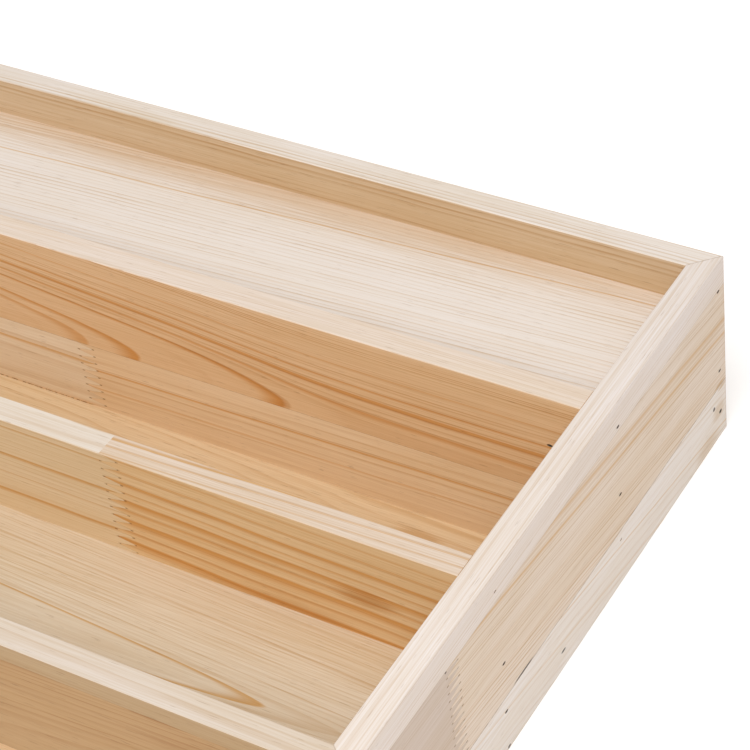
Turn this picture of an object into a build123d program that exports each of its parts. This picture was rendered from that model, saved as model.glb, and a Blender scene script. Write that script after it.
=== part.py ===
from build123d import *
import os

# Three-bay hive body: an open-topped box of unpainted pine with two full-height partitions
# flush with the rim, so that one flat cover closes all three bays.
# The rear bay is a shallow tray, the middle bay is open down to the bottom boards, and the
# front bay has its floor at mid height. The walls and partitions are glued up from staves,
# some of them finger-jointed out of two lengths; the walls meet in mitres and everything is
# held with sunk brads. Two turning discs close the entrances in the left end wall.
# +X is along the bays to the right, +Y is to the back, +Z is up.
# The origin is the centre of the underside.

os.makedirs("parts", exist_ok=True)

# ---- driving dimensions, mm ----
LENGTH = 760.0
HEIGHT = 148.0
BOARD = 18.0
BOTTOM = 9.0
REAR_BAY = 131.0
MIDDLE_BAY = 135.5
FRONT_BAY = 137.0
TRAY_DEPTH = 30.0
FRONT_FLOOR_DEPTH = 82.0
EASED_EDGE = 0.5

# glue lines, as heights above the underside
BACK_GLUE = 66.0
FRONT_GLUE = (52.0, 134.5)
END_GLUE = (44.0, 126.0)
REAR_PARTITION_GLUE = 67.5
FRONT_PARTITION_GLUE = 64.0

# finger joints between two lengths of one stave
FINGER_LENGTH = 12.6
FINGER_PITCH = 6.3
FINGER_TIP = 0.8
REAR_PARTITION_JOINT_X = -23.8
FRONT_PARTITION_JOINT_X = 118.6
RIGHT_WALL_JOINT_Y = -126.0

# brads: flat-headed, driven below the face
BRAD_SUNK = 1.5
BRAD_HEAD = (2.8, 1.3, 0.8)
BRAD_SHANK = (1.7, 1.1)
BRAD_LENGTH = 34.0
BOTTOM_BRAD_LENGTH = 24.0

# entrances in the left end wall and the discs over them
ENTRANCE_R = 8.0
ENTRANCE_ABOVE_FLOOR = 11.0
STATION_R = 16.5
DISC_R = 29.0
DISC_THICKNESS = 1.5
DISC_GAP = 0.2
SHOULDER_R = 2.2
PIVOT_CLEARANCE = 0.05
SCREW_R = 1.7
SCREW_DEPTH = 14.0
SCREW_HEAD_R = 4.6
SCREW_HEAD_H = 2.4

# ---- derived positions ----
DEPTH = 4 * BOARD + REAR_BAY + MIDDLE_BAY + FRONT_BAY
RIGHT = LENGTH / 2
LEFT = -LENGTH / 2
BACK = DEPTH / 2
FRONT = -DEPTH / 2
INNER_RIGHT = RIGHT - BOARD
INNER_LEFT = LEFT + BOARD
INNER_BACK = BACK - BOARD
INNER_FRONT = FRONT + BOARD
REAR_PARTITION_BACK = INNER_BACK - REAR_BAY
REAR_PARTITION_FRONT = REAR_PARTITION_BACK - BOARD
FRONT_PARTITION_BACK = REAR_PARTITION_FRONT - MIDDLE_BAY
FRONT_PARTITION_FRONT = FRONT_PARTITION_BACK - BOARD
REAR_PARTITION_MID = REAR_PARTITION_BACK - BOARD / 2
FRONT_PARTITION_MID = FRONT_PARTITION_BACK - BOARD / 2
TRAY_TOP = HEIGHT - TRAY_DEPTH
FRONT_FLOOR_TOP = HEIGHT - FRONT_FLOOR_DEPTH


def block(x0, x1, y0, y1, z0, z1):
    """A board with its faces at the given positions."""
    size = Box(x1 - x0, y1 - y0, z1 - z0)
    return Pos((x0 + x1) / 2, (y0 + y1) / 2, (z0 + z1) / 2) * size


def mitred_stave(corners, z0, z1):
    """One stave of a wall: the wall's plan outline with mitred ends, between two heights."""
    outline = make_face(Polyline(*[(x, y, z0) for x, y in corners], close=True))
    return extrude(outline, amount=z1 - z0, dir=(0, 0, 1))


def ease_top(board, axis):
    """Takes the sharpness off the two long top edges of a board that runs along the axis."""
    top = board.edges().filter_by(axis).group_by(Axis.Z)[-1]
    return chamfer(top, EASED_EDGE)


def part_at_fingers(stave, along, station, z0, z1):
    """Parts a stave into two lengths with a finger joint; returns the low and the high length."""
    count = round((z1 - z0) / FINGER_PITCH)
    pitch = (z1 - z0) / count
    low = station - FINGER_LENGTH / 2
    high = station + FINGER_LENGTH / 2
    line = [(low, z0 - 1)]
    for i in range(count):
        foot = z0 + i * pitch
        middle = foot + pitch / 2
        line += [
            (low, foot + FINGER_TIP / 2),
            (high, middle - FINGER_TIP / 2),
            (high, middle + FINGER_TIP / 2),
            (low, foot + pitch - FINGER_TIP / 2),
        ]
    line += [(low, z1 + 1), (low - LENGTH, z1 + 1), (low - LENGTH, z0 - 1)]
    if along == Axis.X:
        points = [(u, -DEPTH, z) for u, z in line]
        through = (0, 1, 0)
    else:
        points = [(-LENGTH, u, z) for u, z in line]
        through = (1, 0, 0)
    face = make_face(Polyline(*points, close=True))
    low_side = extrude(face, amount=2 * LENGTH, dir=through)
    return stave & low_side, stave - low_side


def brad(point, inward, grain, length=BRAD_LENGTH):
    """A brad driven in at a point of a face, and the pit above its head."""
    seat = Plane(origin=point, x_dir=grain, z_dir=inward)
    low = (Align.CENTER, Align.CENTER, Align.MIN)
    head = Pos(0, 0, BRAD_SUNK) * Box(*BRAD_HEAD, align=low)
    shank_start = BRAD_SUNK + BRAD_HEAD[2]
    shank = Pos(0, 0, shank_start) * Box(*BRAD_SHANK, length - BRAD_HEAD[2], align=low)
    pit = Pos(0, 0, -1) * Box(BRAD_HEAD[0], BRAD_HEAD[1], BRAD_SUNK + 1, align=low)
    return seat * (head + shank), seat * pit


def meets(one, other):
    """Whether the bounding boxes of two shapes overlap."""
    a = one.bounding_box()
    b = other.bounding_box()
    return all(
        a_low < b_high and b_low < a_high
        for a_low, a_high, b_low, b_high in zip(a.min, a.max, b.min, b.max)
    )


def cylinder_x(radius, x0, x1, y, z):
    """A round bar or bore along X."""
    bar = Rot(0, 90, 0) * Cylinder(radius, x1 - x0)
    return Pos((x0 + x1) / 2, y, z) * bar


# ---- walls ----
back_outline = [(LEFT, BACK), (RIGHT, BACK), (INNER_RIGHT, INNER_BACK), (INNER_LEFT, INNER_BACK)]
front_outline = [(LEFT, FRONT), (RIGHT, FRONT), (INNER_RIGHT, INNER_FRONT), (INNER_LEFT, INNER_FRONT)]
right_outline = [(RIGHT, FRONT), (RIGHT, BACK), (INNER_RIGHT, INNER_BACK), (INNER_RIGHT, INNER_FRONT)]
left_outline = [(LEFT, FRONT), (LEFT, BACK), (INNER_LEFT, INNER_BACK), (INNER_LEFT, INNER_FRONT)]

wood = {}
wood["back_wall_lower_stave"] = mitred_stave(back_outline, 0, BACK_GLUE)
wood["back_wall_upper_stave"] = ease_top(mitred_stave(back_outline, BACK_GLUE, HEIGHT), Axis.X)
wood["front_wall_lower_stave"] = mitred_stave(front_outline, 0, FRONT_GLUE[0])
wood["front_wall_middle_stave"] = mitred_stave(front_outline, *FRONT_GLUE)
wood["front_wall_top_lath"] = ease_top(mitred_stave(front_outline, FRONT_GLUE[1], HEIGHT), Axis.X)
for side, outline in (("right", right_outline), ("left", left_outline)):
    wood[f"{side}_wall_lower_stave"] = mitred_stave(outline, 0, END_GLUE[0])
    wood[f"{side}_wall_middle_stave"] = mitred_stave(outline, *END_GLUE)
    wood[f"{side}_wall_top_lath"] = ease_top(mitred_stave(outline, END_GLUE[1], HEIGHT), Axis.Y)
front_length, rear_length = part_at_fingers(
    wood.pop("right_wall_middle_stave"), Axis.Y, RIGHT_WALL_JOINT_Y, *END_GLUE
)
wood["right_wall_middle_stave_front"] = front_length
wood["right_wall_middle_stave_rear"] = rear_length

# ---- partitions ----
rear_slice = (INNER_LEFT, INNER_RIGHT, REAR_PARTITION_FRONT, REAR_PARTITION_BACK)
front_slice = (INNER_LEFT, INNER_RIGHT, FRONT_PARTITION_FRONT, FRONT_PARTITION_BACK)
rear_upper = block(*rear_slice, REAR_PARTITION_GLUE, HEIGHT)
rear_lower = block(*rear_slice, BOTTOM, REAR_PARTITION_GLUE)
front_upper = ease_top(block(*front_slice, FRONT_PARTITION_GLUE, HEIGHT), Axis.X)
left_length, right_length = part_at_fingers(
    rear_lower, Axis.X, REAR_PARTITION_JOINT_X, BOTTOM, REAR_PARTITION_GLUE
)
wood["rear_partition_upper_stave"] = ease_top(rear_upper, Axis.X)
wood["rear_partition_lower_stave_left"] = left_length
wood["rear_partition_lower_stave_right"] = right_length
left_length, right_length = part_at_fingers(
    front_upper, Axis.X, FRONT_PARTITION_JOINT_X, FRONT_PARTITION_GLUE, HEIGHT
)
wood["front_partition_upper_stave_left"] = left_length
wood["front_partition_upper_stave_right"] = right_length
wood["front_partition_lower_stave"] = block(*front_slice, BOTTOM, FRONT_PARTITION_GLUE)

# ---- boards in the bays, and the bottom boards meeting under the partitions ----
wood["rear_bay_tray_board"] = block(
    INNER_LEFT, INNER_RIGHT, REAR_PARTITION_BACK, INNER_BACK, TRAY_TOP - BOARD, TRAY_TOP
)
wood["front_bay_floor_board"] = block(
    INNER_LEFT, INNER_RIGHT, INNER_FRONT, FRONT_PARTITION_FRONT, FRONT_FLOOR_TOP - BOARD, FRONT_FLOOR_TOP
)
bottom_edges = [INNER_BACK, REAR_PARTITION_MID, FRONT_PARTITION_MID, INNER_FRONT]
for name, y1, y0 in zip(("rear", "middle", "front"), bottom_edges, bottom_edges[1:]):
    wood[f"bottom_board_{name}"] = block(INNER_LEFT, INNER_RIGHT, y0, y1, 0, BOTTOM)

# ---- brads ----
ALONG_X = (1, 0, 0)
ALONG_Y = (0, 1, 0)
INTO_RIGHT_WALL = (-1, 0, 0)
INTO_LEFT_WALL = (1, 0, 0)
ends = ((RIGHT, INTO_RIGHT_WALL), (LEFT, INTO_LEFT_WALL))

corner_brads = [
    brad((x, y, z), inward, ALONG_Y)
    for x, inward in ends
    for y in (BACK - BOARD / 2, FRONT + BOARD / 2)
    for z in (21.5, 57.5, 125.0)
]
partition_brads = [
    brad((x, y + aside, z), inward, ALONG_Y)
    for x, inward in ends
    for y, rows in (
        (REAR_PARTITION_MID, ((0.0, 36.0), (2.5, 73.5), (4.0, 129.0))),
        (FRONT_PARTITION_MID, ((-0.5, 32.5), (2.0, 72.0), (0.5, 134.0))),
    )
    for aside, z in rows
]
board_brads = [
    brad((x, face, z), (0, 1, 0), ALONG_X)
    for face, z in (
        (REAR_PARTITION_FRONT, TRAY_TOP - BOARD / 2),
        (FRONT, FRONT_FLOOR_TOP - BOARD / 2),
    )
    for x in (LEFT + 41.0, RIGHT - 41.0)
]
board_brads += [
    brad((x, face, z), (0, -1, 0), ALONG_X)
    for face, z in (
        (BACK, TRAY_TOP - BOARD / 2),
        (FRONT_PARTITION_BACK, FRONT_FLOOR_TOP - BOARD / 2),
    )
    for x in (LEFT + 41.0, RIGHT - 41.0)
]
bottom_brads = [
    brad((x, edge + shift, 0), (0, 0, 1), ALONG_X, BOTTOM_BRAD_LENGTH)
    for x in (-340.0, -170.0, 0.0, 170.0, 340.0)
    for edge in (REAR_PARTITION_MID, FRONT_PARTITION_MID)
    for shift in (-4.5, 4.5)
]
bottom_edge_brads = [
    brad((x, face, BOTTOM / 2), (0, inward, 0), ALONG_X)
    for x in (-255.0, -85.0, 85.0, 255.0)
    for face, inward in ((BACK, -1), (FRONT, 1))
]

fasteners = {
    "corner_brads": corner_brads,
    "partition_brads": partition_brads,
    "board_brads": board_brads,
    "bottom_brads": bottom_brads + bottom_edge_brads,
}
driven = [pair for pairs in fasteners.values() for pair in pairs]

# ---- entrances, discs and their pivot screws ----
entrances = {
    "middle_bay": (REAR_PARTITION_FRONT - MIDDLE_BAY / 2, BOTTOM + ENTRANCE_ABOVE_FLOOR),
    "front_bay": (FRONT_PARTITION_FRONT - FRONT_BAY / 2, FRONT_FLOOR_TOP + ENTRANCE_ABOVE_FLOOR),
}
left_staves = ("left_wall_lower_stave", "left_wall_middle_stave")
disc_back = LEFT - DISC_GAP
disc_face = disc_back - DISC_THICKNESS
head_seat = disc_face - DISC_GAP

metal = {}
for bay, (y, z) in entrances.items():
    pivot_z = z + STATION_R
    bore = cylinder_x(ENTRANCE_R, LEFT - 1, INNER_LEFT + 1, y, z)
    wood_screw = cylinder_x(SCREW_R, LEFT, LEFT + SCREW_DEPTH, y, pivot_z)
    for stave in left_staves:
        if meets(wood[stave], bore):
            wood[stave] = wood[stave] - bore - wood_screw

    disc = cylinder_x(DISC_R, disc_face, disc_back, y, pivot_z)
    disc -= cylinder_x(SHOULDER_R + PIVOT_CLEARANCE, disc_face - 1, disc_back + 1, y, pivot_z)
    disc -= cylinder_x(ENTRANCE_R, disc_face - 1, disc_back + 1, y, z)
    for i in (-1, 0, 1):
        length = 14.0 if i == 0 else 11.0
        disc -= Pos(disc_face, y - STATION_R + 5.4 * i, pivot_z) * Box(6, 4.2, length)
    vent_z = pivot_z + STATION_R
    disc -= cylinder_x(1.3, disc_face - 1, disc_back + 1, y, vent_z)
    for vent in PolarLocations(5.0, 6):
        offset = vent.position
        disc -= cylinder_x(1.3, disc_face - 1, disc_back + 1, y + offset.X, vent_z + offset.Y)
    metal[f"entrance_disc_{bay}"] = disc

    head = cylinder_x(SCREW_HEAD_R, head_seat - SCREW_HEAD_H, head_seat, y, pivot_z)
    head = fillet(head.edges().group_by(Axis.X)[0], 1.2)
    for turn in (0, 90):
        head -= Pos(head_seat - SCREW_HEAD_H, y, pivot_z) * (Rot(turn, 0, 0) * Box(2.6, 1.0, 5.0))
    shoulder = cylinder_x(SHOULDER_R, head_seat, LEFT, y, pivot_z)
    metal[f"pivot_screw_{bay}"] = head + shoulder + wood_screw

# ---- let the brads into the wood and write every piece ----
for name, board in wood.items():
    for nail, pit in driven:
        if meets(board, nail) or meets(board, pit):
            board = board - pit - nail
    export_step(board, f"parts/{name}.step")
for name, pairs in fasteners.items():
    export_step(Compound([nail for nail, pit in pairs]), f"parts/{name}.step")
for name, piece in metal.items():
    export_step(piece, f"parts/{name}.step")
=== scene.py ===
import math

import bpy
from mathutils import Matrix, Vector


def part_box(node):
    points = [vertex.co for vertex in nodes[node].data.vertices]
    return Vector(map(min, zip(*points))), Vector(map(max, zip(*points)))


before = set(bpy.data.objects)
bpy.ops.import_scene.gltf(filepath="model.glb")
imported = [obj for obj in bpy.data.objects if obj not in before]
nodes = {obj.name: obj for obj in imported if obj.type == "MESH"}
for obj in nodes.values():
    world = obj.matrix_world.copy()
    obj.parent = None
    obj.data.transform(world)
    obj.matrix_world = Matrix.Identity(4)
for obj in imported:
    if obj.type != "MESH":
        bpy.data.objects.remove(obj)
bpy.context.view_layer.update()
scene = bpy.context.scene

# ---------------------------------------------------------------- node helpers


class Tree:
    """A small wrapper for writing shader nodes in a few words.

    Every value may be a plain number, a colour or the output of another node."""

    def __init__(self, tree):
        self.tree = tree

    def add(self, kind, **settings):
        node = self.tree.nodes.new(kind)
        for key, value in settings.items():
            setattr(node, key, value)
        return node

    def put(self, socket, value):
        if isinstance(value, bpy.types.NodeSocket):
            self.tree.links.new(value, socket)
        else:
            socket.default_value = value

    def product(self, a, b):
        return self.math("MULTIPLY", a, b)

    def higher(self, mask, line):
        """The larger of a mask and one more line, or the line where there is no mask yet."""
        return line if mask is None else self.math("MAXIMUM", mask, line)

    def math(self, operation, a, b=None, c=None):
        node = self.add("ShaderNodeMath", operation=operation)
        for i, value in enumerate((a, b, c)):
            if value is not None:
                self.put(node.inputs[i], value)
        return node.outputs[0]

    def mix(self, factor, a, b, blend="MIX"):
        node = self.add("ShaderNodeMix", data_type="RGBA", blend_type=blend)
        self.put(node.inputs["Factor"], factor)
        self.put(node.inputs["A"], a)
        self.put(node.inputs["B"], b)
        return node.outputs["Result"]

    def tint(self, factor, colour, tint):
        """Multiplies a colour by a tint, as far as the factor says."""
        return self.mix(factor, colour, self.mix(1.0, colour, tint, "MULTIPLY"))

    def noise(self, vector, scale, detail=2.0, rough=0.5):
        node = self.add("ShaderNodeTexNoise", noise_dimensions="3D")
        self.put(node.inputs["Vector"], vector)
        self.put(node.inputs["Scale"], scale)
        self.put(node.inputs["Detail"], detail)
        self.put(node.inputs["Roughness"], rough)
        return node.outputs["Fac"]

    def noise_1d(self, w, scale, detail=1.0):
        node = self.add("ShaderNodeTexNoise", noise_dimensions="1D")
        self.put(node.inputs["W"], w)
        self.put(node.inputs["Scale"], scale)
        self.put(node.inputs["Detail"], detail)
        return node.outputs["Fac"]

    def stretch(self, vector, factors):
        node = self.add("ShaderNodeVectorMath", operation="MULTIPLY")
        self.put(node.inputs[0], vector)
        self.put(node.inputs[1], factors)
        return node.outputs["Vector"]

    def combine(self, x, y, z):
        node = self.add("ShaderNodeCombineXYZ")
        for i, value in enumerate((x, y, z)):
            self.put(node.inputs[i], value)
        return node.outputs[0]

    def split(self, vector):
        node = self.add("ShaderNodeSeparateXYZ")
        self.put(node.inputs[0], vector)
        return tuple(node.outputs)

    def ball(self, place, centre, reach):
        """Distance of a place from a centre, in units of the reach along each axis."""
        gap = self.add("ShaderNodeVectorMath", operation="SUBTRACT")
        self.put(gap.inputs[0], place)
        self.put(gap.inputs[1], centre)
        length = self.add("ShaderNodeVectorMath", operation="LENGTH")
        self.put(length.inputs[0], self.stretch(gap.outputs["Vector"], tuple(1 / r for r in reach)))
        return length.outputs["Value"]

    def bump(self, height, strength, distance):
        node = self.add("ShaderNodeBump")
        self.put(node.inputs["Strength"], strength)
        self.put(node.inputs["Distance"], distance)
        self.put(node.inputs["Height"], height)
        return node.outputs[0]

    def ramp(self, factor, stops):
        node = self.add("ShaderNodeValToRGB")
        marks = node.color_ramp.elements
        while len(marks) < len(stops):
            marks.new(0.5)
        for mark, (place, level) in zip(marks, stops):
            mark.position = place
            mark.color = (level, level, level, 1)
        self.put(node.inputs[0], factor)
        return node.outputs["Color"]

    def map_range(self, value, low, high, to_low=0.0, to_high=1.0, smooth=True):
        node = self.add("ShaderNodeMapRange")
        node.interpolation_type = "SMOOTHSTEP" if smooth else "LINEAR"
        for name, v in (("Value", value), ("From Min", low), ("From Max", high),
                        ("To Min", to_low), ("To Max", to_high)):
            self.put(node.inputs[name], v)
        return node.outputs["Result"]


def new_material(name):
    """An empty material with one principled shader."""
    material = bpy.data.materials.new(name)
    material.use_nodes = True
    material.node_tree.nodes.clear()
    tree = Tree(material.node_tree)
    shader = tree.add("ShaderNodeBsdfPrincipled")
    out = tree.add("ShaderNodeOutputMaterial")
    material.node_tree.links.new(shader.outputs[0], out.inputs[0])
    return material, tree, shader


# ---------------------------------------------------------------- pine

# colours of a board are display values of 0 to 255; tints are linear factors
PALE = (226, 208, 190)
LIGHT_CLOUD = (1.03, 1.05, 1.10, 1)
WARM_CLOUD = (0.955, 0.915, 0.84, 1)
FIBRE_TINT = (0.86, 0.79, 0.68, 1)
RING_TINT = (0.72, 0.54, 0.33, 1)
STRONG_TINT = (0.83, 0.59, 0.31, 1)
# tint of the darker patches, painted shade among them
PATCH_AND_SHADE_TINT = (0.80, 0.66, 0.49, 1)
SEAM_TINT = (0.40, 0.29, 0.19, 1)
PIT_COLOUR = (0.035, 0.024, 0.016, 1)
FINGER_LENGTH = 0.0126
FINGER_PITCH = 0.0063
FINGER_TIP = 0.127  # half the blunt tip, as a part of half a pitch
EVEN_EASE = 0.1  # how softly the taper stops, in metres
NICK_DEPTH = 2.0  # in units of the fibre's height
GRAIN_BUMP = 0.22
GRAIN_DEPTH = 0.00025


def srgb(red, green, blue):
    """Linear colour from display values of 0 to 255."""
    return (*(((c / 255 + 0.055) / 1.055) ** 2.4 for c in (red, green, blue)), 1)


def eased_minimum(a, b, reach):
    """The smaller of two numbers, rounded off where they meet, as Smooth Minimum does."""
    h = max(reach - abs(a - b), 0.0) / reach
    return min(a, b) - h ** 3 * reach / 6


def everyday_rings(t, radius, seed, spacing, late, patchy):
    """The darkness of the ordinary growth rings, each year with its own width and strength."""
    count = t.math("DIVIDE", t.math("ADD", radius, seed), spacing)
    count = t.math("ADD", count, t.product(t.noise_1d(count, 0.45, 2.0), 1.6))
    year = t.add("ShaderNodeTexWhiteNoise", noise_dimensions="1D")
    t.put(year.inputs["W"], t.math("FLOOR", count))
    strong = t.math("POWER", year.outputs["Value"], 1.3)
    strong = t.map_range(strong, 0.0, 1.0, 0.28, 1.0, smooth=False)
    dark = t.ramp(t.math("FRACT", count), [
        (0.0, 0.06), (0.30, 0.0), (0.62, 0.16), (0.84, 0.75), (0.94, 1.0), (0.995, 0.08)])
    mask = t.product(t.product(dark, strong), late)
    return t.product(mask, t.map_range(patchy, 0.25, 0.7, 0.55, 1.15))


def strong_rings(t, radius, rings):
    """Single rings as (radius, darkness, width). Each darkens slowly outwards and ends sharply."""
    mask = None
    for crest, darkness, width in rings:
        rise = t.map_range(radius, crest - width, crest, 0.0, darkness)
        fall = t.map_range(radius, crest, crest + width * 0.2, 1.0, 0.0)
        mask = t.higher(mask, t.product(rise, fall))
    return mask


def glue_lines(t, xyz, breaks, seams):
    """Dark lines along glue joints and mitres, broken up by a noise along the board."""
    x, y, z = xyz
    mask = None
    for axis, station, half_width, darkness, broken in seams:
        across = z
        if axis == "mitre":
            across = t.math("SUBTRACT", t.math("ABSOLUTE", x), t.math("ABSOLUTE", y))
        away = t.math("ABSOLUTE", t.math("SUBTRACT", across, station))
        line = t.map_range(away, half_width, half_width * 0.4, 0.0, darkness)
        gaps = t.map_range(breaks, 0.40, 0.58, 1.0 - broken, 1.0)
        mask = t.higher(mask, t.product(line, gaps))
    return mask


def finger_lines(t, u, z, patchy, fingers):
    """The zigzag line of a finger joint, with darker gaps at the fingers' blunt tips."""
    station, low_z, high_z = fingers
    pitch = (high_z - low_z) / round((high_z - low_z) / FINGER_PITCH)
    turn = t.math("FRACT", t.math("DIVIDE", t.math("SUBTRACT", z, low_z), pitch))
    saw = t.math("ABSOLUTE", t.math("SUBTRACT", t.product(turn, 2.0), 1.0))
    saw = t.math("SUBTRACT", 1.0, saw)
    slope = t.map_range(saw, FINGER_TIP, 1.0 - FINGER_TIP, -0.5, 0.5, smooth=False)
    joint = t.math("ADD", t.product(slope, FINGER_LENGTH), station)
    away = t.math("ABSOLUTE", t.math("SUBTRACT", u, joint))
    flank = t.map_range(away, 0.0009, 0.0003, 0.0, 0.30)
    at_tip = t.map_range(t.math("ABSOLUTE", slope), 0.44, 0.49)
    tip = t.product(at_tip, t.map_range(away, 0.0014, 0.0006, 0.0, 0.85))
    tip = t.product(tip, t.map_range(patchy, 0.35, 0.55, 0.35, 1.0))
    inside = t.map_range(z, low_z, low_z + 0.001)
    inside = t.product(inside, t.map_range(z, high_z, high_z - 0.001))
    return t.product(t.math("MAXIMUM", flank, tip), inside)


def pine(name, along, pith, face_as_lit, seed, spacing, edge_as_lit=PALE, behind_as_lit=None, taper=0.02,
         even_after=None, late=0.4, wander=0.0006, mottle=0.5, grain=0.75, rings=(),
         calm_within=None, edge_rings=1.0, patches_and_shade=(), seams=(), fingers=None, nicks=()):
    """Planed pine for one board. The growth rings are cones round a pith line along the board.

    along: the board's length axis. pith: the two other coordinates of the pith line.
    face_as_lit, edge_as_lit: colours of the upright and of the upward surfaces as the light fell on
    them, with painted shade darkening and warming the upright faces and painted light on the upward
    ones;
    behind_as_lit: a paler, lit colour for the side towards the back wall if it differs.
    spacing, late: width and darkness of the everyday rings.
    taper: how fast the rings close towards the high end; it stops where the length passes
    even_after. wander: how far the rings stray. mottle, grain: how strong the slow colour
    change and the fibre are.
    rings: single strong rings as (point on the surface, darkness, width).
    patches_and_shade: darker patches as (centre, reach, darkness); some are painted shade along the
    foot of a wall or a partition.
    seams: glue lines as (axis, place, half width, darkness, how broken up 0 to 1), where
    the axis is "z" or "mitre", which stands for |x| - |y|, the same all over a mitre.
    fingers: a finger joint as (station, low z, high z). nicks: pits as (centre, reach).
    calm_within: a point on the surface; everyday rings fade inside the ring through it.
    edge_rings: how strongly rings show on the upward surface compared with the upright ones."""
    material, t, shader = new_material(name)
    coordinates = t.add("ShaderNodeTexCoord")
    place = coordinates.outputs["Object"]
    x, y, z = t.split(place)
    u, v, w = (x, y, z) if along == "x" else (y, x, z)
    shifted = t.combine(t.math("ADD", u, seed), v, w)

    # distance from the pith, wandering gently along the board
    bend_v = t.math("SUBTRACT", t.noise(t.stretch(shifted, (5.0, 18.0, 18.0)), 1.0, 1.5), 0.5)
    bend_w = t.math("SUBTRACT", t.noise(t.stretch(shifted, (6.5, 15.0, 15.0)), 1.3, 1.5), 0.5)
    ripple = t.math("SUBTRACT", t.noise(t.stretch(shifted, (30.0, 90.0, 90.0)), 1.0, 2.0), 0.5)
    dv = t.math("ADD", t.math("SUBTRACT", v, pith[0]), t.product(bend_v, wander * 5))
    dw = t.math("ADD", t.math("SUBTRACT", w, pith[1]), t.product(bend_w, wander * 5))
    radius = t.math("SQRT", t.math("ADD", t.product(dv, dv), t.product(dw, dw)))
    tapered = u if even_after is None else t.math("SMOOTH_MIN", u, even_after, EVEN_EASE)
    radius = t.math("ADD", radius, t.product(tapered, taper))
    radius = t.math("ADD", radius, t.product(ripple, wander * 0.5))

    def ring_through(point):
        """The distance from the pith at which a ring passes through a point."""
        px, py, pw = point
        pu, pv = (px, py) if along == "x" else (py, px)
        pu = pu if even_after is None else eased_minimum(pu, even_after, EVEN_EASE)
        return math.hypot(pv - pith[0], pw - pith[1]) + pu * taper

    patchy = t.noise(t.stretch(shifted, (12.0, 60.0, 60.0)), 1.0, 2.0)
    ring_mask = everyday_rings(t, radius, seed, spacing, late, patchy)
    if calm_within:
        calm = ring_through(calm_within)
        ring_mask = t.product(ring_mask, t.map_range(radius, calm - 0.001, calm, 0.15, 1.0))
    strong_mask = strong_rings(t, radius, [(ring_through(p), *rest) for p, *rest in rings])

    # fibre, slow colour change and resin ducts
    fibre = t.noise(t.stretch(shifted, (14.0, 1100.0, 1100.0)), 1.0, 3.0, 0.65)
    cloud = t.noise(t.stretch(shifted, (5.0, 34.0, 34.0)), 1.0, 3.0)
    ducts = t.map_range(t.noise(t.stretch(shifted, (80.0, 1500.0, 1500.0)), 1.0, 0.0), 0.74, 0.82)

    facing = t.split(coordinates.outputs["Normal"])
    upward = t.map_range(facing[2], 0.5, 0.8)
    if edge_rings != 1.0:
        shown = t.map_range(upward, 0.0, 1.0, 1.0, edge_rings, smooth=False)
        ring_mask = t.product(ring_mask, shown)
        if strong_mask is not None:
            strong_mask = t.product(strong_mask, shown)
    # painted light and shade: upright faces take a darker, warmer colour, while upward surfaces and
    # sides towards the back wall take a paler one, as light fell on them
    upright = srgb(*face_as_lit)
    if behind_as_lit:
        upright = t.mix(t.map_range(facing[1], 0.4, 0.6), upright, srgb(*behind_as_lit))
    base = t.mix(upward, upright, srgb(*edge_as_lit))
    colour = t.tint(mottle, base, t.mix(t.map_range(cloud, 0.3, 0.7), LIGHT_CLOUD, WARM_CLOUD))
    colour = t.tint(ring_mask, colour, RING_TINT)
    if strong_mask is not None:
        colour = t.tint(strong_mask, colour, STRONG_TINT)
    colour = t.tint(t.map_range(fibre, 0.28, 0.72, grain, 0.0), colour, FIBRE_TINT)
    colour = t.tint(t.product(ducts, 0.35), colour, SEAM_TINT)

    # darker patches, some of them painted shade beside a wall or a partition
    for centre, reach, darkness in patches_and_shade:
        fray = t.product(t.math("SUBTRACT", fibre, 0.5), 0.9)
        frayed = t.math("ADD", t.ball(place, centre, reach), fray)
        colour = t.tint(t.map_range(frayed, 1.0, 0.25, 0.0, darkness), colour, PATCH_AND_SHADE_TINT)

    # glue lines, mitres and the finger joint
    breaks = t.noise_1d(t.math("ADD", u, seed), 230.0, 2.0)
    seam_mask = glue_lines(t, (x, y, z), breaks, seams)
    if fingers:
        seam_mask = t.higher(seam_mask, finger_lines(t, u, z, patchy, fingers))
    if seam_mask is not None:
        colour = t.tint(seam_mask, colour, SEAM_TINT)

    pits = None
    for centre, reach in nicks:
        pits = t.higher(pits, t.map_range(t.ball(place, centre, reach), 1.15, 0.7))
    if pits is not None:
        colour = t.mix(t.product(pits, 0.9), colour, PIT_COLOUR)

    height = t.math("ADD", t.product(ring_mask, 0.35), t.product(fibre, 0.55))
    if seam_mask is not None:
        height = t.math("SUBTRACT", height, t.product(seam_mask, 0.8))
    if pits is not None:
        height = t.math("SUBTRACT", height, t.product(pits, NICK_DEPTH))
    t.put(shader.inputs["Base Color"], colour)
    t.put(shader.inputs["Roughness"], t.map_range(fibre, 0.2, 0.8, 0.56, 0.72))
    t.put(shader.inputs["Specular IOR Level"], 0.28)
    t.put(shader.inputs["Normal"], t.bump(height, GRAIN_BUMP, GRAIN_DEPTH))
    return material


def give(node, material):
    """Puts one material on the whole of a CAD node."""
    mesh = nodes[node].data
    mesh.materials.clear()
    mesh.materials.append(material)


# ---------------------------------------------------------------- places in the frame


def low(node, axis):
    """The lowest coordinate of a CAD node along an axis."""
    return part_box(node)[0]["xyz".index(axis)]


def high(node, axis):
    """The highest coordinate of a CAD node along an axis."""
    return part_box(node)[1]["xyz".index(axis)]


def finger_joint(first, second, axis):
    """Two lengths of a stave meet here: station along the stave, low and high z."""
    return (high(first, axis) + low(second, axis)) / 2, low(first, "z"), high(first, "z")


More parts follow.
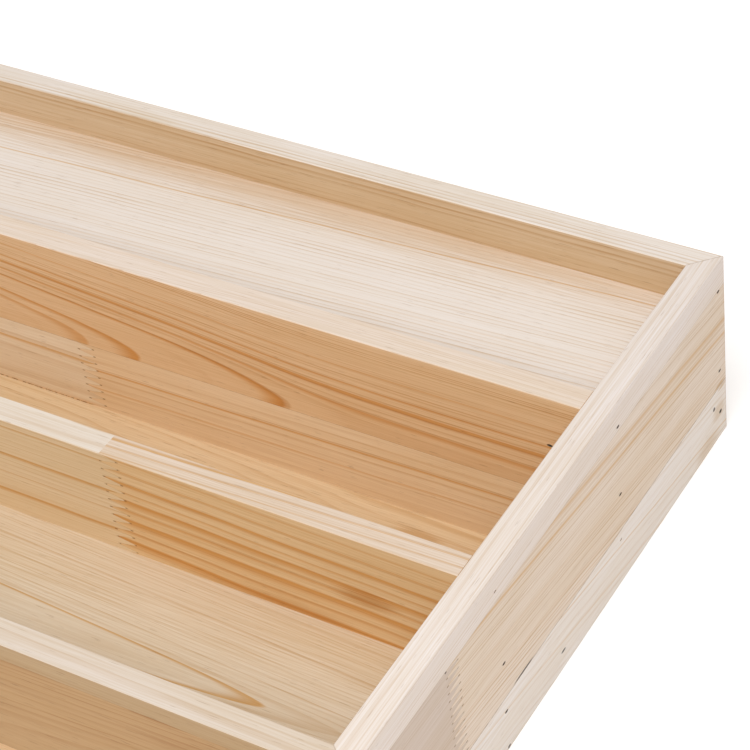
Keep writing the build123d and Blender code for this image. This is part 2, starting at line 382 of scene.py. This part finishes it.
RIGHT_FACE = high("right_wall_lower_stave", "x")
LEFT_FACE = low("left_wall_lower_stave", "x")
BACK_WALL_FACE = high("back_wall_lower_stave", "y")
FRONT_WALL_FACE = low("front_wall_lower_stave", "y")
REAR_FACE = low("rear_partition_upper_stave", "y")  # towards the middle bay
FRONT_FACE = low("front_partition_lower_stave", "y")  # towards the front bay
RIM_Z = high("back_wall_upper_stave", "z")
TRAY_Z = high("rear_bay_tray_board", "z")
FRONT_FLOOR_Z = high("front_bay_floor_board", "z")
BOTTOM_Z = high("bottom_board_middle", "z")

# glue lines: axis and place, then half width, darkness and how broken up
MITRE = ("mitre", RIGHT_FACE - BACK_WALL_FACE, 0.0007, 0.50, 0.5)
REAR_SEAM = ("z", low("rear_partition_upper_stave", "z"), 0.00035, 0.45, 0.6)
REAR_FOOT = ("z", BOTTOM_Z + 0.0004, 0.0006, 0.9, 1.0)
FRONT_TOP_SEAM = ("z", low("front_wall_top_lath", "z"), 0.0005, 0.2, 0.6)
FRONT_LOW_SEAM = ("z", high("front_wall_lower_stave", "z"), 0.0004, 0.4, 0.6)
END_TOP_SEAM = ("z", low("right_wall_top_lath", "z"), 0.0003, 0.4, 0.5)
RIGHT_LOW_SEAM = ("z", high("right_wall_lower_stave", "z"), 0.0005, 0.75, 0.5)
LEFT_LOW_SEAM = ("z", high("left_wall_lower_stave", "z"), 0.0004, 0.5, 0.5)

REAR_JOINT = finger_joint(
    "rear_partition_lower_stave_left", "rear_partition_lower_stave_right", "x")
FRONT_JOINT = finger_joint(
    "front_partition_upper_stave_left", "front_partition_upper_stave_right", "x")
RIGHT_JOINT = finger_joint(
    "right_wall_middle_stave_front", "right_wall_middle_stave_rear", "y")

# brads in the end walls as (y, z)
HALF_WALL = (RIGHT_FACE - low("right_wall_lower_stave", "x")) / 2
CORNER_Y = BACK_WALL_FACE - HALF_WALL
REAR_PARTITION_Y = REAR_FACE + HALF_WALL
FRONT_PARTITION_Y = FRONT_FACE + HALF_WALL
WALL_BRADS = {
    "top_lath": ((REAR_PARTITION_Y + 0.0040, 0.1290),),
    "middle_stave": (
        (CORNER_Y, 0.0575), (CORNER_Y, 0.1250), (-CORNER_Y, 0.0575), (-CORNER_Y, 0.1250),
        (REAR_PARTITION_Y + 0.0025, 0.0735), (FRONT_PARTITION_Y + 0.0020, 0.0720)),
    "lower_stave": (
        (CORNER_Y, 0.0215), (-CORNER_Y, 0.0215), (FRONT_PARTITION_Y - 0.0005, 0.0325)),
}
BRAD_STAIN = (0.004, 0.0020, 0.0010)


def brad_stains(stave, x):
    """The dark marks round the brads of one stave of an end wall."""
    return tuple(((x, y, z), BRAD_STAIN) for y, z in WALL_BRADS[stave])


# ---------------------------------------------------------------- the boards

boards = {
    # back wall: pale edge with painted light, tan inner face with painted shade, long straight
    # lines
    "back_wall_upper_stave": dict(
        along="x", pith=(0.3, 0.085), face_as_lit=(214, 188, 155), edge_as_lit=(239, 230, 222), spacing=0.0026,
        taper=0.003, late=0.8, seed=0.31, seams=(MITRE,),
    ),
    "back_wall_lower_stave": dict(
        along="x", pith=(0.29, 0.02), face_as_lit=(210, 180, 145), spacing=0.0034, taper=0.012, late=0.5,
        seed=1.73, seams=(MITRE,),
    ),
    # the tray board: pale with soft rings, with painted shade along the back wall
    "rear_bay_tray_board": dict(
        along="x", pith=(0.02, 0.08), face_as_lit=(214, 190, 160), edge_as_lit=(237, 228, 220), spacing=0.0034,
        taper=-0.045, late=0.75, seed=2.11, mottle=0.2, grain=0.35,
        rings=(
            ((-0.045, 0.1895, TRAY_Z), 0.8, 0.0016), ((-0.037, 0.1246, TRAY_Z), 0.3, 0.0012),
        ),
        patches_and_shade=(
            # painted shade along the foot of the back wall
            ((0.05, 0.222, TRAY_Z), (0.6, 0.04, 0.03), 0.75),
        ),
    ),
    # rear partition: loops with their tips to the right under dense straight lines
    "rear_partition_upper_stave": dict(
        along="x", pith=(0.147, 0.07), face_as_lit=(236, 202, 161), edge_as_lit=(234, 219, 206), spacing=0.0015,
        taper=0.045, even_after=0.17, late=1.0, seed=0.117, wander=0.0004,
        calm_within=(0.139, REAR_FACE, 0.0735), edge_rings=0.35, seams=(REAR_SEAM,),
        rings=(
            ((0.013, REAR_FACE, 0.0722), 1.0, 0.001), ((0.139, REAR_FACE, 0.0735), 1.0, 0.001),
            ((-0.029, REAR_FACE, 0.072), 0.7, 0.0009), ((0.09, REAR_FACE, 0.1085), 1.0, 0.001),
            ((0.24, REAR_FACE, 0.0985), 1.0, 0.0011), ((-0.016, REAR_FACE, 0.124), 0.95, 0.001),
            ((0.3, REAR_FACE, 0.086), 0.85, 0.001), ((0.02, REAR_FACE, 0.133), 0.7, 0.0009),
        ),
        nicks=(
            ((0.339, REAR_FACE, 0.109), (0.0022, 0.004, 0.0011)),
        ),
    ),
    "rear_partition_lower_stave_left": dict(
        along="x", pith=(0.13, 0.03), face_as_lit=(241, 223, 197), spacing=0.0042, taper=0.006, late=0.65,
        seed=4.03, seams=(REAR_SEAM, REAR_FOOT), fingers=REAR_JOINT,
        rings=(
            ((-0.065, REAR_FACE, 0.0523), 0.9, 0.0014),
        ),
    ),
    "rear_partition_lower_stave_right": dict(
        along="x", pith=(0.12, -0.04), face_as_lit=(240, 213, 177), spacing=0.006, taper=-0.012, late=0.6,
        seed=5.27, seams=(REAR_SEAM,), fingers=REAR_JOINT,
        rings=(
            ((0.041, REAR_FACE, 0.0465), 1.0, 0.002), ((0.1, REAR_FACE, 0.03), 0.55, 0.0022),
        ),
    ),
    # bottom boards
    "bottom_board_rear": dict(
        along="x", pith=(0.15, -0.04), face_as_lit=(212, 182, 148), edge_as_lit=(226, 200, 168), spacing=0.0036,
        seed=6.1,
    ),
    "bottom_board_middle": dict(
        along="x", pith=(0.04, -0.07), face_as_lit=(216, 180, 140), edge_as_lit=(231, 205, 168), spacing=0.0022,
        late=0.6, seed=7.9,
        patches_and_shade=(
            ((0.246, 0.053, BOTTOM_Z), (0.024, 0.005, 0.01), 0.8),
        ),
    ),
    "bottom_board_front": dict(
        along="x", pith=(-0.17, -0.05), face_as_lit=(214, 186, 152), edge_as_lit=(226, 202, 172), spacing=0.0038,
        seed=8.3,
    ),
    # front partition: quiet left length, boldly striped right length
    "front_partition_upper_stave_left": dict(
        along="x", pith=(-0.04, 0.03), face_as_lit=(228, 203, 167), edge_as_lit=(230, 219, 208), spacing=0.0034,
        taper=0.004, behind_as_lit=(238, 219, 196), late=0.35, seed=9.4, fingers=FRONT_JOINT,
        rings=(
            ((0.06, FRONT_FACE, 0.118), 1.0, 0.0032), ((0.06, FRONT_FACE, 0.0845), 1.0, 0.0032),
            ((0.07, FRONT_FACE, 0.1425), 0.7, 0.002), ((0.06, FRONT_FACE, 0.101), 0.3, 0.002),
        ),
    ),
    "front_partition_upper_stave_right": dict(
        along="x", pith=(0.117, 0.0), face_as_lit=(229, 196, 151), edge_as_lit=(226, 208, 191), spacing=0.0017,
        taper=0.02, behind_as_lit=(238, 219, 196), late=0.6, seed=10.66, fingers=FRONT_JOINT,
        rings=(
            ((0.12, FRONT_FACE, 0.1468), 0.6, 0.0012), ((0.12, FRONT_FACE, 0.1377), 0.7, 0.0014),
            ((0.12, FRONT_FACE, 0.1281), 1.0, 0.0026), ((0.121, FRONT_FACE, 0.1199), 0.6, 0.0014),
            ((0.131, FRONT_FACE, 0.1129), 1.0, 0.0032), ((0.135, FRONT_FACE, 0.105), 0.7, 0.0016),
            ((0.14, FRONT_FACE, 0.0966), 1.0, 0.0036), ((0.145, FRONT_FACE, 0.086), 0.6, 0.0018),
            ((0.145, FRONT_FACE, 0.077), 1.0, 0.003),
        ),
        patches_and_shade=(
            ((0.296, FRONT_FACE, 0.099), (0.03, 0.01, 0.01), 1.0),
            ((0.24, FRONT_FACE, 0.07), (0.06, 0.01, 0.008), 0.6),
        ),
    ),
    "front_partition_lower_stave": dict(
        along="x", pith=(-0.05, 0.01), face_as_lit=(210, 176, 138), behind_as_lit=(236, 216, 192),
        spacing=0.0036, taper=0.012, seed=11.8,
    ),
    # half-depth bay floor: fine lines at the back, one long loop towards the front, painted shade
    # along the foot of the front partition
    "front_bay_floor_board": dict(
        along="x", pith=(-0.1556, 0.0575), face_as_lit=(212, 182, 146), edge_as_lit=(220, 204, 181),
        spacing=0.0024, taper=0.047, late=0.7, seed=12.45, wander=0.0004,
        calm_within=(0.2645, -0.1556, FRONT_FLOOR_Z),
        rings=(
            ((0.2645, -0.1556, FRONT_FLOOR_Z), 1.0, 0.0015),
        ),
        patches_and_shade=(
            # painted shade along the foot of the front partition
            ((0.1, -0.09, FRONT_FLOOR_Z), (0.6, 0.055, 0.01), 0.3),
        ),
    ),
    # front wall: outer faces darkened with painted shade, inner sides of the upper boards paler
    # with painted light
    "front_wall_top_lath": dict(
        along="x", pith=(-0.26, 0.1), face_as_lit=(172, 144, 108), behind_as_lit=(236, 222, 204),
        edge_as_lit=(221, 208, 195), spacing=0.0042, taper=0.006, late=0.4, seed=13.9,
        seams=(FRONT_TOP_SEAM, MITRE),
    ),
    "front_wall_middle_stave": dict(
        along="x", pith=(-0.15, 0.06), face_as_lit=(175, 140, 98), behind_as_lit=(236, 222, 204), spacing=0.0026,
        taper=-0.03, late=0.95, seed=14.2, seams=(FRONT_TOP_SEAM, FRONT_LOW_SEAM, MITRE),
        patches_and_shade=(
            ((0.258, FRONT_WALL_FACE, 0.1345), (0.03, 0.01, 0.0026), 1.0),
            ((0.32, FRONT_WALL_FACE, 0.118), (0.11, 0.01, 0.018), 0.45),
        ),
    ),
    "front_wall_lower_stave": dict(
        along="x", pith=(-0.2, 0.01), face_as_lit=(204, 168, 128), spacing=0.0038, taper=0.014, late=0.5,
        seed=15.6, seams=(FRONT_LOW_SEAM, MITRE),
    ),
    # right wall
    "right_wall_top_lath": dict(
        along="y", pith=(0.33, 0.215), face_as_lit=(228, 217, 211), edge_as_lit=(237, 228, 223), spacing=0.0022,
        taper=0.004, late=0.45, seed=16.3, mottle=0.35, seams=(END_TOP_SEAM, MITRE),
        nicks=brad_stains("top_lath", RIGHT_FACE),
    ),
    "right_wall_middle_stave_rear": dict(
        along="y", pith=(0.3, -0.1), face_as_lit=(224, 208, 193), spacing=0.0026, taper=0.115, late=1.0,
        seed=17.8, seams=(END_TOP_SEAM, RIGHT_LOW_SEAM, MITRE), fingers=RIGHT_JOINT,
        rings=(
            ((RIGHT_FACE, -0.006, 0.115), 0.75, 0.0026), ((RIGHT_FACE, 0.135, 0.1095), 0.6, 0.005),
            ((RIGHT_FACE, 0.158, 0.0956), 0.5, 0.0045), ((RIGHT_FACE, 0.0467, 0.0483), 0.6, 0.001),
            ((RIGHT_FACE, 0.03, 0.056), 0.5, 0.0009), ((RIGHT_FACE, 0.1, 0.07), 0.5, 0.001),
        ),
        patches_and_shade=(
            ((RIGHT_FACE, 0.228, 0.0462), (0.01, 0.011, 0.0022), 1.0),
        ),
        nicks=(
            ((RIGHT_FACE, -0.0505, 0.0448), (0.002, 0.0126, 0.0008)),
            *brad_stains("middle_stave", RIGHT_FACE),
        ),
    ),
    "right_wall_middle_stave_front": dict(
        along="y", pith=(0.3, -0.08), face_as_lit=(206, 189, 176), spacing=0.003, taper=0.05, late=0.5,
        seed=18.4, seams=(END_TOP_SEAM, RIGHT_LOW_SEAM, MITRE), fingers=RIGHT_JOINT,
        nicks=(
            ((RIGHT_FACE, -0.13275, 0.1254), (0.002, 0.0012, 0.0008)),
            *brad_stains("middle_stave", RIGHT_FACE),
        ),
    ),
    "right_wall_lower_stave": dict(
        along="y", pith=(0.3, -0.12), face_as_lit=(231, 223, 218), spacing=0.0055, taper=0.13, late=0.4,
        seed=19.9, mottle=0.4, seams=(RIGHT_LOW_SEAM, MITRE),
        rings=(
            ((RIGHT_FACE, 0.1207, 0.0254), 0.7, 0.0013),
            ((RIGHT_FACE, -0.02, 0.025), 0.45, 0.0016),
        ),
        patches_and_shade=(
            ((RIGHT_FACE, 0.2075, 0.006), (0.01, 0.024, 0.012), 0.55),
            ((RIGHT_FACE, 0.2265, 0.0245), (0.01, 0.013, 0.01), 0.6),
            ((RIGHT_FACE, 0.232, 0.042), (0.01, 0.009, 0.0022), 1.0),
        ),
        nicks=(
            ((RIGHT_FACE, -0.00225, 0.0144), (0.002, 0.003, 0.001)),
            ((RIGHT_FACE, 0.219, 0.0308), (0.002, 0.0017, 0.0017)),
            ((RIGHT_FACE, 0.2288, 0.0214), (0.002, 0.0022, 0.0016)),
            ((RIGHT_FACE, -0.075, 0.002), (0.002, 0.002, 0.0012)),
            *brad_stains("lower_stave", RIGHT_FACE),
        ),
    ),
    # left wall
    "left_wall_top_lath": dict(
        along="y", pith=(-0.33, 0.2), face_as_lit=(222, 205, 190), edge_as_lit=(234, 221, 209), spacing=0.003,
        taper=0.006, late=0.5, seed=20.7, seams=(END_TOP_SEAM, MITRE),
        nicks=brad_stains("top_lath", LEFT_FACE),
    ),
    "left_wall_middle_stave": dict(
        along="y", pith=(-0.345, 0.08), face_as_lit=(214, 188, 160), spacing=0.0032, taper=0.018,
        late=0.5, seed=21.5, seams=(END_TOP_SEAM, LEFT_LOW_SEAM, MITRE),
        nicks=brad_stains("middle_stave", LEFT_FACE),
    ),
    "left_wall_lower_stave": dict(
        along="y", pith=(-0.33, 0.015), face_as_lit=(220, 200, 178), spacing=0.0044, taper=0.016,
        late=0.42, seed=22.1, seams=(LEFT_LOW_SEAM, MITRE),
        nicks=brad_stains("lower_stave", LEFT_FACE),
    ),
}
for board, look in boards.items():
    give(board, pine("pine_" + board, **look))

# ---------------------------------------------------------------- metal


def metal(name, colour, rough, speckle, spangle=0.0):
    """Dull or zinc-coated steel with fine scratches, stains and, for sheet, crystal spangles."""
    material, t, shader = new_material(name)
    place = t.add("ShaderNodeTexCoord").outputs["Object"]
    fine = t.noise(place, 900.0, 3.0, 0.6)
    patch = t.noise(place, 70.0, 3.0, 0.55)
    scratch = t.noise(t.stretch(place, (400.0, 90.0, 1600.0)), 1.0, 2.0)
    dull = tuple(c * 0.55 for c in colour[:3]) + (1,)
    tint = t.mix(t.map_range(patch, 0.35, 0.75, 0.0, speckle), colour, dull)
    roughness = t.map_range(patch, 0.3, 0.7, rough - 0.08, rough + 0.12)
    if spangle:
        cells = t.add("ShaderNodeTexVoronoi", feature="F1")
        t.put(cells.inputs["Vector"], place)
        t.put(cells.inputs["Scale"], 260.0)
        grey = t.add("ShaderNodeSeparateColor")
        t.put(grey.inputs[0], cells.outputs["Color"])
        tint = t.mix(t.product(grey.outputs[0], spangle), tint, (0.83, 0.85, 0.87, 1))
        roughness = t.math("ADD", roughness, t.product(grey.outputs[1], 0.12))
    t.put(shader.inputs["Base Color"], tint)
    t.put(shader.inputs["Metallic"], 1.0)
    t.put(shader.inputs["Roughness"], roughness)
    t.put(shader.inputs["Normal"], t.bump(t.math("ADD", fine, scratch), 0.15, 0.0001))
    return material


brad_steel = metal("brad_steel", (0.045, 0.038, 0.034, 1), 0.6, 0.6)
screw_zinc = metal("screw_zinc", (0.62, 0.61, 0.57, 1), 0.32, 0.4)
sheet_zinc = metal("sheet_zinc", (0.60, 0.62, 0.64, 1), 0.38, 0.35, spangle=0.5)
for node in ("corner_brads", "partition_brads", "board_brads", "bottom_brads"):
    give(node, brad_steel)
for bay in ("middle_bay", "front_bay"):
    give("pivot_screw_" + bay, screw_zinc)
    give("entrance_disc_" + bay, sheet_zinc)

# ---------------------------------------------------------------- stage and light

FLOOR_SIZE = 30
FLOOR_Z = -0.0005  # just under the box, so that the two planes don't fight
FLOOR_GLOW = 0.36  # lifts the pale floor to the photo's white
SKY_LIGHT = 0.54

floor_material, t, shader = new_material("floor")
t.put(shader.inputs["Base Color"], (0.92, 0.92, 0.92, 1))
t.put(shader.inputs["Roughness"], 0.9)
t.put(shader.inputs["Specular IOR Level"], 0.0)
t.put(shader.inputs["Emission Color"], (1, 1, 1, 1))
t.put(shader.inputs["Emission Strength"], FLOOR_GLOW)
bpy.ops.mesh.primitive_plane_add(size=FLOOR_SIZE, location=(0, 0, FLOOR_Z))
floor = bpy.context.object
floor.name = "floor"
floor.data.materials.append(floor_material)

world = bpy.data.worlds.new("studio")
scene.world = world
world.use_nodes = True
background = world.node_tree.nodes["Background"]
background.inputs["Color"].default_value = (1.0, 0.99, 0.98, 1)
background.inputs["Strength"].default_value = SKY_LIGHT


def softbox(name, place, target, size, power):
    """A large soft area light aimed at a point."""
    data = bpy.data.lights.new(name, "AREA")
    data.shape = "RECTANGLE"
    data.size, data.size_y = size
    data.energy = power
    light = bpy.data.objects.new(name, data)
    scene.collection.objects.link(light)
    light.location = place
    light.rotation_mode = "QUATERNION"
    light.rotation_quaternion = (Vector(target) - Vector(place)).to_track_quat("-Z", "Y")


softbox("overhead", place=(0.35, -1.15, 1.95), target=(0.1, 0.0, 0.08), size=(2.2, 1.8), power=38.0)

# ---------------------------------------------------------------- camera

# the camera fitted to the photo's edges: place from the rim's rear right corner, axes, focus
RIM_CORNER = Vector((RIGHT_FACE, BACK_WALL_FACE, RIM_Z))
EYE = Vector((0.55003, -1.17424, 1.04284))
RIGHT_OF_VIEW = Vector((0.85930393, 0.50109371, -0.10247851))
DOWN_OF_VIEW = Vector((0.26443985, -0.60677612, -0.74959609))
VIEW = Vector((-0.4377994, 0.61703147, -0.65391426))
FOCUS_PIXELS = 2578.2
PHOTO_PIXELS = 750
SENSOR_MM = 36.0

camera_data = bpy.data.cameras.new("camera")
camera_data.sensor_width = SENSOR_MM
camera_data.lens = FOCUS_PIXELS / PHOTO_PIXELS * SENSOR_MM
camera_data.clip_start = 0.05
camera_data.clip_end = 60.0
camera = bpy.data.objects.new("camera", camera_data)
scene.collection.objects.link(camera)
turn = Matrix((RIGHT_OF_VIEW, -DOWN_OF_VIEW, -VIEW)).transposed().to_4x4()
camera.matrix_world = Matrix.Translation(RIM_CORNER + EYE) @ turn
scene.camera = camera

scene.view_settings.view_transform = "Standard"
scene.view_settings.look = "None"
scene.view_settings.exposure = 0.0
scene.view_settings.gamma = 1.0
